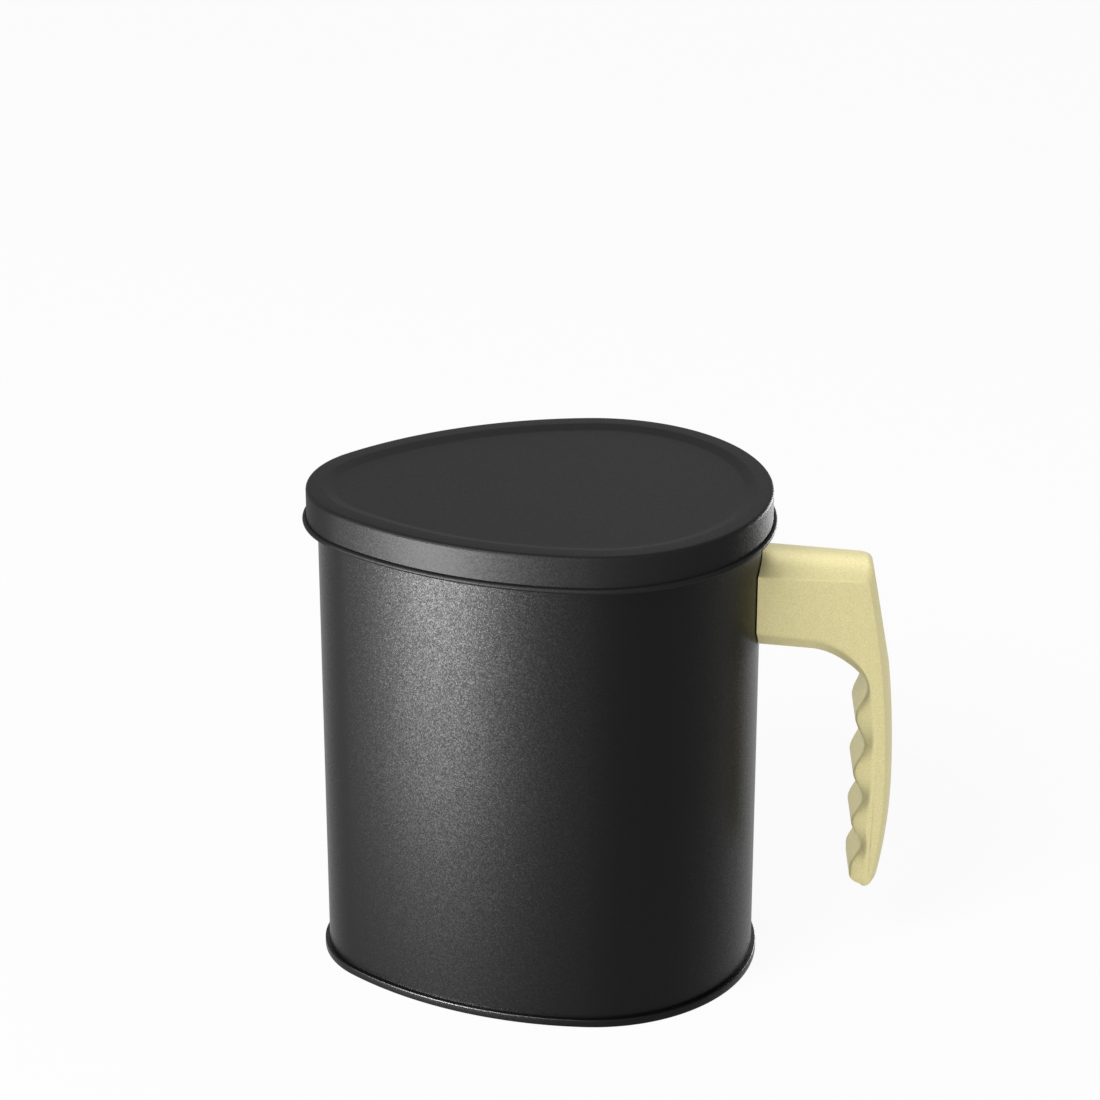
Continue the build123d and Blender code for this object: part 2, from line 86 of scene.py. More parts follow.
seam_low, seam_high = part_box("pot_bottom")
blunt_x = (seam_high.x + seam_low.x) / MM / 2 + (NOSE_DISTANCE + NOSE_RADIUS - BLUNT_RADIUS) / 2
blunt_to_side = SIDE_RADIUS - BLUNT_RADIUS
nose_to_side = SIDE_RADIUS - NOSE_RADIUS
side_back = (nose_to_side**2 - blunt_to_side**2 - NOSE_DISTANCE**2) / (2 * NOSE_DISTANCE)
side_across = math.sqrt(blunt_to_side**2 - side_back**2)
blunt_half = math.atan2(side_across, -side_back)
nose_half = math.atan2(side_across, -NOSE_DISTANCE - side_back)
FULL = 2 * math.pi
ARCS = [
    (blunt_x, 0.0, BLUNT_RADIUS, -blunt_half, blunt_half),
    (blunt_x + side_back, -side_across, SIDE_RADIUS, blunt_half, nose_half),
    (blunt_x - NOSE_DISTANCE, 0.0, NOSE_RADIUS, nose_half, FULL - nose_half),
    (blunt_x + side_back, side_across, SIDE_RADIUS, FULL - nose_half, FULL - blunt_half),
]
print("blunt arc's centre at x =", round(blunt_x, 3), "mm")


def plan(grow, steps=PLAN_STEPS):
    """Points of the outline moved outwards by grow: centre plus (radius + grow) times the heading,
    with steps shared among the arcs by their length. grow may be an array, for many outlines."""
    lengths = np.array([radius * (last - first) for _, _, radius, first, last in ARCS])
    counts = np.maximum(np.round(steps * lengths / lengths.sum()).astype(int), 4)
    columns = []
    for (x, y, radius, first, last), count in zip(ARCS, counts):
        headings = first + (last - first) * np.arange(count) / count
        columns.append(np.stack([np.full(count, x), np.full(count, y), np.full(count, radius), headings]))
    x, y, radius, heading = np.concatenate(columns, axis=1)
    reach = radius + np.asarray(grow)[..., None]
    return np.stack([x + reach * np.cos(heading), y + reach * np.sin(heading)], axis=-1)


# %% [markdown]
# ## From a grid of points to a piece
# Every surface here is a grid: one index runs along the profile and the other goes round. The grid
# becomes quads, its two open ends may be closed by a flat face, and edges sharper than the angle
# given stay sharp, so that a folded corner catches the light as a line.


# %% Grid to mesh
def piece(name, points, wrap=(False, True), caps=(), sharp=35):
    """A mesh object from a grid of points in mm, shaped (rows, columns, 3). wrap joins the last row or
    column to the first; caps lists rows that a flat face closes."""
    rows, columns = points.shape[:2]
    index = np.arange(rows * columns).reshape(rows, columns)
    if wrap[0]:
        index = np.concatenate([index, index[:1]], axis=0)
    if wrap[1]:
        index = np.concatenate([index, index[:, :1]], axis=1)
    corners = [index[:-1, :-1], index[:-1, 1:], index[1:, 1:], index[1:, :-1]]
    faces = np.stack(corners, axis=-1).reshape(-1, 4).tolist()
    for row in caps:
        ring = index[row, :columns]
        faces.append((ring[::-1] if row == 0 else ring).tolist())
    mesh = bpy.data.meshes.new(name)
    mesh.from_pydata((points.reshape(-1, 3) * MM).tolist(), [], faces)
    mesh.update()
    face_out(mesh)
    mesh.shade_smooth()
    mesh.set_sharp_from_angle(angle=math.radians(sharp))
    made = bpy.data.objects.new(name, mesh)
    bpy.context.scene.collection.objects.link(made)
    print(name, len(faces), "faces")
    return made


def face_out(mesh):
    """Turns all faces round if the mesh's signed volume, the sum over its triangles of the corners'
    triple product over six, is negative."""
    mesh.calc_loop_triangles()
    corners = np.zeros(len(mesh.loop_triangles) * 3, np.int32)
    mesh.loop_triangles.foreach_get("vertices", corners)
    places = np.zeros(len(mesh.vertices) * 3)
    mesh.vertices.foreach_get("co", places)
    a, b, c = places.reshape(-1, 3)[corners.reshape(-1, 3)].transpose(1, 0, 2)
    if np.einsum("ij,ij->i", a, np.cross(b, c)).sum() < 0:
        mesh.flip_normals()


def carried(profile, steps=PLAN_STEPS):
    """Points of a profile, given as (distance out from the wall, height), carried round the plan."""
    profile = np.asarray(profile, float)
    around = plan(profile[:, 0], steps)
    heights = np.broadcast_to(profile[:, 1, None, None], around.shape[:2] + (1,))
    return np.concatenate([around, heights], axis=-1)


def arc(centre, radius, first, last, count):
    """Points on an arc, headings in degrees, both ends included."""
    turn = np.radians(np.linspace(first, last, count))
    return np.stack([centre[0] + radius * np.cos(turn), centre[1] + radius * np.sin(turn)], axis=-1)


def rounded(corners, radii, count=6):
    """An open profile through the corners, where each inner corner is an arc of its radius, drawn as
    a curve between the two points where that arc would touch the sides."""
    corners = np.asarray(corners, float)
    line = [corners[:1]]
    share = np.linspace(0, 1, count)[:, None]
    for before, corner, after, radius in zip(corners[:-2], corners[1:-1], corners[2:], radii):
        if radius == 0:
            line.append(corner[None])
            continue
        back = (before - corner) / np.linalg.norm(before - corner)
        ahead = (after - corner) / np.linalg.norm(after - corner)
        half_angle = math.acos(np.clip(back @ ahead, -1, 1)) / 2
        touch = radius / math.tan(half_angle)
        middle = corner + (back + ahead) / np.linalg.norm(back + ahead) * radius / math.sin(half_angle)
        start = corner + back * touch - middle
        end = corner + ahead * touch - middle
        turn = math.acos(np.clip(start @ end / radius**2, -1, 1))
        bend = start * np.sin((1 - share) * turn) + end * np.sin(share * turn)
        line.append(middle + bend / math.sin(turn))
    line.append(corners[-1:])
    return np.concatenate(line)


# %% [markdown]
# ## The pot's wall and bottom
# The wall is one sheet, curled outwards into a bead at the mouth and hooked at the foot, where the
# bottom panel is folded round it. A real can seam is drawn here layer by layer, because its lower
# edge catches a bright line and the gap above it stays dark.

# %% Pot wall
POT_HEIGHT = 157.0
RIM_BEAD_RADIUS = 1.5
CURL_TURN = 295
BOTTOM_SHEET = 0.45
FOLD_GAP = 0.03
SEAM_HEIGHT = 2.6
SEAM_POCKET = 0.5
wall_foot = BOTTOM_SHEET + FOLD_GAP
hook_inner = FOLD_GAP + BOTTOM_SHEET + FOLD_GAP
hook_outer = hook_inner + WALL_SHEET
pocket_top = SEAM_HEIGHT - BOTTOM_SHEET
hook_top = pocket_top - SEAM_POCKET


def curl(centre, radius, sheet, turn, start=180):
    """A closed curl's profile: the outer arc one way and the inner arc back, a sheet's thickness apart."""
    return np.concatenate([
        arc(centre, radius, start, start + turn, 30),
        arc(centre, radius - sheet, start + turn, start, 22),
    ])


rim_centre = (RIM_BEAD_RADIUS - WALL_SHEET, POT_HEIGHT - RIM_BEAD_RADIUS)
wall_profile = np.concatenate([
    [(-WALL_SHEET, wall_foot), (-WALL_SHEET, POT_HEIGHT / 2)],
    curl(rim_centre, RIM_BEAD_RADIUS, WALL_SHEET, -CURL_TURN),
    [(0, POT_HEIGHT / 2), (0, wall_foot + WALL_SHEET), (hook_inner, wall_foot + WALL_SHEET)],
    [(hook_inner, hook_top), (hook_outer, hook_top), (hook_outer, wall_foot)],
])
pot_wall = piece("pot_wall_rolled", carried(wall_profile), wrap=(True, True))
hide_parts("pot_wall")

# %% Pot bottom
BOTTOM_RECESS = 1.8
BOTTOM_BEND = 0.9
BOTTOM_LAP = 6.0
SEAM_CORNER = 0.4
chuck_inner = -WALL_SHEET - FOLD_GAP - BOTTOM_SHEET
seam_outer = hook_outer + FOLD_GAP + BOTTOM_SHEET
panel_top = BOTTOM_RECESS + BOTTOM_SHEET
bottom_corners = [
    (-BOTTOM_LAP, BOTTOM_RECESS),
    (chuck_inner, BOTTOM_RECESS),
    (chuck_inner, 0),
    (seam_outer, 0),
    (seam_outer, SEAM_HEIGHT),
    (FOLD_GAP, SEAM_HEIGHT),
    (FOLD_GAP, wall_foot + WALL_SHEET + FOLD_GAP),
    (FOLD_GAP + BOTTOM_SHEET, wall_foot + WALL_SHEET + FOLD_GAP),
    (FOLD_GAP + BOTTOM_SHEET, pocket_top),
    (seam_outer - BOTTOM_SHEET, pocket_top),
    (seam_outer - BOTTOM_SHEET, BOTTOM_SHEET),
    (-WALL_SHEET - FOLD_GAP, BOTTOM_SHEET),
    (-WALL_SHEET - FOLD_GAP, panel_top),
    (-BOTTOM_LAP, panel_top),
]
bottom_rounds = [BOTTOM_BEND - BOTTOM_SHEET] + [SEAM_CORNER] * 3 + [0] * 7 + [BOTTOM_BEND]
pot_bottom = piece("pot_bottom_seamed", carried(rounded(bottom_corners, bottom_rounds)), caps=(0, -1))
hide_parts("pot_bottom")

# %% [markdown]
# ## The strainer's tray
# The tray is pressed from one sheet: a curled rim that rests on the pot's rim, an upright wall, a
# floor that rises under the pouring nose, four sunk channels there, and a round seat for the mesh.
# Its floor is a height field, so ramps and channels are sums of soft steps, and the grid's rows run
# from the wall's foot to the round seat. The same function with a gap gives the sheet's underside.

# %% Strainer dimensions
STRAINER_SHEET = 0.45
STRAINER_BEAD = 1.4
STRAINER_LAP = 0.8
STRAINER_DEPTH = 19.0
STRAINER_FOOT_ROUND = 3.0
SEAT_GAP = 0.2
NOSE_RISE = 3.0
NOSE_SLOPE = (49.5, 14.0)
CHANNELS = [((-59.0, 28.0), (-49.0, 25.5)), ((-73.0, 12.5), (-54.0, 10.5))]
CHANNEL_WIDTH = 8.0
CHANNEL_DEPTH = 1.0
CHANNEL_EDGE = 1.3
SEAT_RADIUS = 42.6
SEAT_OFFSET = 4.2
SEAT_FOLD = 1.2
SEAT_DROP = 2.6
SEAT_LEDGE = 4.4
TRAY_STEPS = 400
TRAY_SIDE_LEVELS = (0.9, 0.5, 0.05)
FLOOR_ROWS = 64
UNDERSIDE_ROWS = 34

tray_bead_offset = -WALL_SHEET + STRAINER_LAP - STRAINER_BEAD
bead_step = rim_centre[0] - tray_bead_offset
bead_apart = RIM_BEAD_RADIUS + STRAINER_BEAD + SEAT_GAP
tray_bead_height = rim_centre[1] + math.sqrt(bead_apart**2 - bead_step**2)
strainer_top = tray_bead_height + STRAINER_BEAD
floor_height = strainer_top - STRAINER_DEPTH
tray_inner = tray_bead_offset - STRAINER_BEAD
flange_top = floor_height - SEAT_DROP + STRAINER_SHEET
seat_x = blunt_x - SEAT_OFFSET


def soft_step(value):
    """0 below 0, 1 above 1, and 3t^2 - 2t^3 between."""
    t = np.clip(value, 0, 1)
    return t * t * (3 - 2 * t)


def tray_floor(x, y, gap):
    """The floor's height: level, plus the nose's ramp, minus each channel, whose plan is a strip of
    round-ended width about a line, seen as the distance to that line."""
    height = floor_height + NOSE_RISE * soft_step((blunt_x - NOSE_SLOPE[0] - x) / NOSE_SLOPE[1])
    sunk = np.zeros_like(x)
    for (start_x, start_y), (end_x, end_y) in CHANNELS:
        run = np.array([end_x - start_x, end_y - start_y])
        for side in (1, -1):
            from_start = np.stack([x - blunt_x - start_x, side * y - start_y], axis=-1)
            along = np.clip(from_start @ run / (run @ run), 0, 1)
            distance = np.linalg.norm(from_start - along[..., None] * run, axis=-1)
            inside = (CHANNEL_WIDTH / 2 + gap - distance) / CHANNEL_EDGE + 0.5
            sunk = np.maximum(sunk, soft_step(inside))
    return height - CHANNEL_DEPTH * sunk - gap


def tray_skin(gap, floor_rows):
    """Rows of one face of the tray, gap away from its inner face, from the curl's end to the seat."""
    bead = arc((tray_bead_offset, tray_bead_height), STRAINER_BEAD - gap, 180 - CURL_TURN, 180, 26)
    inside = tray_inner + gap
    foot_round = STRAINER_FOOT_ROUND - STRAINER_SHEET + gap
    turn = np.radians(np.linspace(0, 90, 10))
    wall = plan(np.full(3, inside), TRAY_STEPS)
    foot = plan(inside - foot_round * (1 - np.cos(turn)), TRAY_STEPS)
    start = plan(inside - foot_round, TRAY_STEPS)
    bearing = np.arctan2(start[:, 1], start[:, 0] - seat_x)
    towards = np.stack([np.cos(bearing), np.sin(bearing)], axis=-1)
    edge = (SEAT_RADIUS + SEAT_FOLD) * towards + (seat_x, 0)
    share = np.linspace(0, 1, floor_rows + 1)[1:, None, None]
    floor = start * (1 - share) + edge * share
    low = tray_floor(wall[..., 0], wall[..., 1], gap) + foot_round
    sides = low + (tray_bead_height - low) * np.array(TRAY_SIDE_LEVELS)[:, None]
    foot_z = tray_floor(foot[..., 0], foot[..., 1], gap) + foot_round * (1 - np.sin(turn))[:, None]
    fold = arc((SEAT_RADIUS + SEAT_FOLD, floor_height - SEAT_FOLD), SEAT_FOLD - gap, 90, 180, 8)[1:]
    flange = np.array([
        (SEAT_RADIUS + gap, flange_top - gap),
        (SEAT_RADIUS - SEAT_LEDGE, flange_top - gap),
    ])
    seat = np.concatenate([fold, flange])
    ring = seat[:, None, :1] * towards + (seat_x, 0)
    ring_z = np.broadcast_to(seat[:, 1:], ring.shape[:2])
    rows = np.concatenate([wall, foot, floor, ring])
    heights = np.concatenate([sides, foot_z, tray_floor(floor[..., 0], floor[..., 1], gap), ring_z])
    return np.concatenate([carried(bead, TRAY_STEPS), np.concatenate([rows, heights[..., None]], axis=-1)])


# %% Strainer tray
tray_points = np.concatenate([tray_skin(0, FLOOR_ROWS), tray_skin(STRAINER_SHEET, UNDERSIDE_ROWS)[::-1]])
strainer_tray = piece("strainer_tray_pressed", tray_points, wrap=(True, True))
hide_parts("strainer_tray")
print("strainer floor at", round(floor_height, 2), "mm, rim at", round(strainer_top, 2), "mm")

# %% [markdown]
# ## The strainer's mesh
# Plain-woven stainless wire: each wire rises over one crossing wire and dips under the next. A wire
# is a four-sided tube along a sine wave whose half length is the wires' spacing, and neighbours run
# half a wave out of step. Warp and weft are two pieces, so that each stays light.

# %% Woven wires
WIRE_PITCH = 0.95
WIRE_RADIUS = 0.125
WIRE_RISE = 0.12
WIRE_SIDES = 4
STATIONS_PER_CROSSING = 3
MESH_THICKNESS = 0.5
MESH_CLEARANCE = 0.6
mesh_edge = SEAT_RADIUS - MESH_CLEARANCE
mesh_middle = flange_top + MESH_THICKNESS / 2


def wires(name, lengthwise):
    """All wires of one direction: a tube's ring of sides at each station along each wire, whose height
    is the rise times the sine of pi times the distance over the pitch."""
    count = int(mesh_edge / WIRE_PITCH)
    across = (np.arange(-count, count) + 0.5) * WIRE_PITCH
    reach = np.sqrt(mesh_edge**2 - across**2)
    stations = np.linspace(-1, 1, 2 * count * STATIONS_PER_CROSSING + 1)
    along = reach[:, None] * stations
    step = np.where(np.arange(len(across)) % 2 == 0, 1, -1)[:, None]
    lift = WIRE_RISE * step * np.sin(math.pi * along / WIRE_PITCH) * (1 if lengthwise else -1)
    turn = FULL * (np.arange(WIRE_SIDES) + 0.5) / WIRE_SIDES
    beside = across[:, None, None] + WIRE_RADIUS * np.cos(turn)
    height = mesh_middle + lift[..., None] + WIRE_RADIUS * np.sin(turn)
    along = np.broadcast_to(along[..., None], height.shape)
    beside = np.broadcast_to(beside, height.shape)
    pair = (along, beside) if lengthwise else (beside, along)
    points = np.stack([pair[0] + seat_x, pair[1], height], axis=-1)
    index = np.arange(points[..., 0].size).reshape(height.shape)
    index = np.concatenate([index, index[..., :1]], axis=-1)
    a, b = index[:, :-1], index[:, 1:]
    quads = np.stack([a[..., :-1], a[..., 1:], b[..., 1:], b[..., :-1]], axis=-1).reshape(-1, 4)
    ends = np.concatenate([index[:, 0, :-1][:, ::-1], index[:, -1, :-1]])
    mesh = bpy.data.meshes.new(name)
    mesh.from_pydata((points.reshape(-1, 3) * MM).tolist(), [], np.concatenate([quads, ends]).tolist())
    face_out(mesh)
    mesh.shade_smooth()
    made = bpy.data.objects.new(name, mesh)
    bpy.context.scene.collection.objects.link(made)
    print(name, len(across), "wires,", 2 * len(mesh.polygons), "triangles")
    return made


mesh_warp = wires("mesh_warp_wires", True)
mesh_weft = wires("mesh_weft_wires", False)
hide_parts("strainer_mesh")
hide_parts("strainer_mesh")

# %% Mesh ring
RING_WIDTH = 1.1
RING_HEIGHT = 1.0
RING_CLEARANCE = 0.1
RING_EDGE = 0.1


def turned(profile, centre_x, steps=220):
    """Points of a profile, given as (radius, height), turned about an upright axis."""
    profile = np.asarray(profile, float)
    heading = FULL * np.arange(steps) / steps
    x = centre_x + profile[:, :1] * np.cos(heading)
    y = profile[:, :1] * np.sin(heading)
    return np.stack([x, y, np.broadcast_to(profile[:, 1:], x.shape)], axis=-1)


ring_outer = SEAT_RADIUS - RING_CLEARANCE
ring_inner = ring_outer - RING_WIDTH
ring_low = flange_top + MESH_THICKNESS
ring_high = ring_low + RING_HEIGHT
ring_corners = [
    (ring_outer, (ring_low + ring_high) / 2),
    (ring_outer, ring_high),
    (ring_inner, ring_high),
    (ring_inner, ring_low),
    (ring_outer, ring_low),
]
ring_profile = rounded(ring_corners, [RING_WIDTH / 4, RING_WIDTH / 4, RING_EDGE])
mesh_ring = piece("mesh_ring_turned", turned(ring_profile, seat_x), wrap=(True, True))
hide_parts("mesh_ring")

# %% [markdown]
# ## The lid
# A shallow cap: a skirt with a hem curled outwards, a tight bend, a flat ledge over the strainer's
# rim, a soft slope and a panel that lies a millimetre lower, which stiffens the thin sheet.

# %% Lid
LID_SHEET = 0.45
LID_SKIRT = 11.5
LID_HEM_RADIUS = 0.85
LID_RIM_CLEARANCE = 0.35
LID_CORNER = 1.2
LID_LEDGE = 5.4
LID_SLOPE = 3.5
LID_RECESS = 1.0
LID_BEND = 2.4
lid_under = strainer_top + SEAT_GAP
lid_top = lid_under + LID_SHEET
skirt_inner = rim_centre[0] + RIM_BEAD_RADIUS + LID_RIM_CLEARANCE
skirt_outer = skirt_inner + LID_SHEET
slope_start = skirt_outer - LID_LEDGE
slope_foot = slope_start - LID_SLOPE
panel_edge = slope_foot - 2 * LID_BEND
hem_centre = (skirt_inner + LID_HEM_RADIUS, lid_top - LID_SKIRT + LID_HEM_RADIUS)
upper = rounded(
    [
        (panel_edge, lid_top - LID_RECESS),
        (slope_foot, lid_top - LID_RECESS),
        (slope_start, lid_top),
        (skirt_outer, lid_top),
        (skirt_outer, hem_centre[1]),
    ],
    [LID_BEND, LID_BEND, LID_CORNER],
)
under = rounded(
    [
        (skirt_inner, hem_centre[1]),
        (skirt_inner, lid_under),
        (slope_start, lid_under),
        (slope_foot, lid_under - LID_RECESS),
        (panel_edge, lid_under - LID_RECESS),
    ],
    [LID_CORNER - LID_SHEET, LID_BEND, LID_BEND],
)
hem = np.concatenate([
    arc(hem_centre, LID_HEM_RADIUS - LID_SHEET, 180, 180 + CURL_TURN, 18),
    arc(hem_centre, LID_HEM_RADIUS, 180 + CURL_TURN, 180, 24),
])
lid_profile = np.concatenate([upper, hem[1:-1], under])
lid = piece("lid_pressed", carried(lid_profile), caps=(0, -1))
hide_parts("lid")

# %% [markdown]
# ## The handle
# One phenolic or nylon moulding, painted. Seen from the side it is an arm and a grip, joined by a
# quarter turn on the inside and a tight corner on the outside. The rows of the grid are lines from
# its inner edge to its outer edge, upright in the arm, fanned round the elbow and level in the grip,
# and the columns go round each section: wavy inner edge, bevel, flat side, crowned back.

# %% Handle dimensions, measured from the centre of the pot's blunt end
ARM_SLOPE = math.tan(math.radians(5))
ARM_CREST = 138.6
ARM_UNDER = 110.6
ARM_HALF_WIDTH = 13.2
GRIP_HALF_WIDTH = 11.3
HANDLE_REACH = 93.7
GRIP_END = 27.2
TOE_ROUND = 3.0
HEEL_ROUND = 2.0
RIDGE_HALF_WIDTH = 9.0
CROWN = 2.7
CORNER_ROUND = 2.5
CORNER_HALF_ANGLE = 53.7
BACK_LEAN = 12.4
BACK_WIDEST = 62.0
BACK_RADII = (345.0, 175.0)
BACK_FLAT = 0.6
BACK_FLAT_FOOT = 101.0
BEVEL_AT_POT = 6.2
ROOT = 38.5
crown_radius = (GRIP_HALF_WIDTH**2 + CROWN**2) / (2 * CROWN)


def arm_line(height, reach):
    """The height at some reach of a line that slopes with the arm and has this height at the wall."""
    return height - (reach - BLUNT_RADIUS) * ARM_SLOPE


def half_width(reach):
    """The sides are two planes that close in from the arm's root to the back."""
    share = (reach - BLUNT_RADIUS) / (HANDLE_REACH - BLUNT_RADIUS)
    return ARM_HALF_WIDTH + (GRIP_HALF_WIDTH - ARM_HALF_WIDTH) * share


def sag(y):
    """How far the crown has fallen at a distance from the middle: a circle's radius less its height."""
    return crown_radius - np.sqrt(crown_radius**2 - np.minimum(np.abs(y), crown_radius) ** 2)


def back_line(height, y):
    """The reach of the handle's back: two long arcs that meet at its widest height, less the crown,
    and cut by a plane that makes the small flat under the corner."""
    radius = np.where(height > BACK_WIDEST, *BACK_RADII)
    reach = HANDLE_REACH - radius + np.sqrt((radius - sag(y)) ** 2 - (height - BACK_WIDEST) ** 2)
    flat_top = arm_line(ARM_CREST, HANDLE_REACH)
    flat_ends = [
        HANDLE_REACH - BACK_RADII[0] + math.sqrt(BACK_RADII[0] ** 2 - (level - BACK_WIDEST) ** 2)
        for level in (BACK_FLAT_FOOT, flat_top)
    ]
    climb = (height - BACK_FLAT_FOOT) / (flat_top - BACK_FLAT_FOOT)
    flat = flat_ends[0] + (flat_ends[1] - BACK_FLAT - flat_ends[0]) * climb
    return np.where(climb > 0, np.minimum(reach, flat), reach)


def smooth_curve(knots, first_slope, last_slope, shares):
    """A cubic through the knots whose bend changes without a jump. The slopes at the knots solve one
    equation each, and the ends have the slopes given. shares run from 0 to 1 by distance."""
    knots = np.asarray(knots, float)
    spans = np.linalg.norm(np.diff(knots, axis=0), axis=1)
    at = np.concatenate([[0], np.cumsum(spans)])
    count = len(knots)
    system = np.eye(count)
    right = np.zeros((count, 2))
    right[0], right[-1] = first_slope, last_slope
    for k in range(1, count - 1):
        system[k, k - 1 : k + 2] = spans[k], 2 * (spans[k - 1] + spans[k]), spans[k - 1]
        before = (knots[k] - knots[k - 1]) / spans[k - 1] * spans[k]
        after = (knots[k + 1] - knots[k]) / spans[k] * spans[k - 1]
        right[k] = 3 * (before + after)
    slopes = np.linalg.solve(system, right)
    distance = np.asarray(shares) * at[-1]
    k = np.clip(np.searchsorted(at, distance, side="right") - 1, 0, count - 2)
    t = ((distance - at[k]) / spans[k])[:, None]
    span = spans[k][:, None]
    start = (1 + 2 * t) * (1 - t) ** 2 * knots[k] + t * (1 - t) ** 2 * span * slopes[k]
    end = t**2 * (3 - 2 * t) * knots[k + 1] + t**2 * (t - 1) * span * slopes[k + 1]
    return start + end


# %% Handle's inner lines: a wavy one along the middle and a smooth one where the bevel meets the side
WAVY_KNOTS = [
    (66.5, 109.25), (78.0, 104.26), (84.2, 95.62), (81.1, 85.40), (84.2, 75.60), (81.1, 66.22),
    (84.2, 57.26), (81.1, 48.73), (84.2, 40.61), (81.1, 32.91), (81.1, 31.7),
]
SMOOTH_KNOTS = [
    (66.5, 113.65), (80.4, 105.96), (83.9, 100.46), (86.2, 89.96),
    (87.0, 65.97), (86.3, 49.01), (86.3, 31.7),
]
ARM_ROWS = 26
TOP_ROWS = 30
CORNER_ROWS = 16
ELBOW_ROWS = 34
GRIP_ROWS = 170
TIP_ROWS = 12
FAN_START = 70.0
ELBOW_SHARE = 0.22
CORNER_TOUCH = CORNER_ROUND / math.tan(math.radians(CORNER_HALF_ANGLE))
CORNER_TRIES = 8
fan_rows = TOP_ROWS + CORNER_ROWS + ELBOW_ROWS
shares = np.concatenate([
    np.linspace(0, ELBOW_SHARE, fan_rows + 1)[1:],
    np.linspace(ELBOW_SHARE, 1, GRIP_ROWS + 1)[1:],
])
arm_heading = (1, -ARM_SLOPE)
wavy = smooth_curve(WAVY_KNOTS, arm_heading, (0, -1), shares)
smooth = smooth_curve(SMOOTH_KNOTS, arm_heading, (0, -1), shares)
arm_share = np.linspace(0, 1, ARM_ROWS)
arm_reach = ROOT + (WAVY_KNOTS[0][0] - ROOT) * arm_share
tip_turn = np.linspace(0, math.pi / 2, TIP_ROWS + 1)[1:]
tip_height = GRIP_END + TOE_ROUND * (1 - np.sin(tip_turn))
toe_step = TOE_ROUND * (1 - np.cos(tip_turn))
print("handle's inner lines:", len(wavy), "points each")


def outer_line(y):
    """The outer edge at a distance from the middle: along the arm's top, round the corner on a
    quadratic curve, down the back, and round the heel at the grip's end."""
    y = np.broadcast_to(y, (ARM_ROWS + fan_rows + GRIP_ROWS + TIP_ROWS,)).astype(float)
    corner = np.full_like(y, HANDLE_REACH)
    for _ in range(CORNER_TRIES):
        corner_height = arm_line(ARM_CREST, corner) - sag(y)
        corner = back_line(corner_height, y)
    level = math.hypot(1, ARM_SLOPE)
    touch_top = corner - CORNER_TOUCH / level
    touch_back = corner_height - CORNER_TOUCH * math.cos(math.radians(BACK_LEAN))
    back_at_touch = back_line(touch_back, y)
    row = np.arange(len(y))
    top_end = ARM_ROWS + TOP_ROWS
    on_top = row < top_end
    share = np.interp(row, [0, ARM_ROWS - 1, top_end - 1], [0, 1, 2])
    reach_top = np.where(
        share < 1,
        ROOT + (FAN_START - ROOT) * share,
        FAN_START + (touch_top - FAN_START) * (share - 1),
    )
    t = np.clip((row - top_end + 1) / CORNER_ROWS, 0, 1)
    on_corner = (row >= top_end) & (row < top_end + CORNER_ROWS)
    corner_reach = (1 - t) ** 2 * touch_top + 2 * t * (1 - t) * corner + t**2 * back_at_touch
    top_height = arm_line(ARM_CREST, touch_top) - sag(y)
    corner_z = (1 - t) ** 2 * top_height + 2 * t * (1 - t) * corner_height + t**2 * touch_back
    grip_start = ARM_ROWS + fan_rows
    down = np.clip((row - top_end - CORNER_ROWS + 1) / ELBOW_ROWS, 0, 1)
    back_height = touch_back + (wavy[fan_rows - 1, 1] - touch_back) * down
    back_height[grip_start : grip_start + GRIP_ROWS] = wavy[fan_rows:, 1]
    back_height[grip_start + GRIP_ROWS :] = tip_height
    heel = np.clip((GRIP_END + HEEL_ROUND - back_height) / HEEL_ROUND, 0, 1)
    back_reach = back_line(back_height, y) - HEEL_ROUND * (1 - np.sqrt(1 - heel**2))
    top_z = arm_line(ARM_CREST, reach_top) - sag(y)
    reach = np.where(on_top, reach_top, np.where(on_corner, corner_reach, back_reach))
    height = np.where(on_top, top_z, np.where(on_corner, corner_z, back_height))
    return np.stack([reach, y, height], axis=-1)


def inner_line(curve, arm_heights):
    """The whole inner edge in side view: straight along the arm, the curve, and the rounded toe."""
    arm = np.stack([arm_reach, arm_heights], axis=-1)
    toe = np.stack([curve[-1, 0] + toe_step, tip_height], axis=-1)
    return np.concatenate([arm, curve, toe])


MOST_EASED = 0.45


def eased(before, corner, after, reach, count=6):
    """A corner's round: a quadratic curve that leaves both sides at a reach from the corner, or at
    nearly half a side where that is less."""
    back = before - corner
    ahead = after - corner
    back_length = np.linalg.norm(back, axis=-1, keepdims=True)
    ahead_length = np.linalg.norm(ahead, axis=-1, keepdims=True)
    start = corner + back / back_length * np.minimum(reach, MOST_EASED * back_length)
    end = corner + ahead / ahead_length * np.minimum(reach, MOST_EASED * ahead_length)
    t = np.linspace(0, 1, count)[:, None, None]
    return (1 - t) ** 2 * start + 2 * t * (1 - t) * corner + t**2 * end


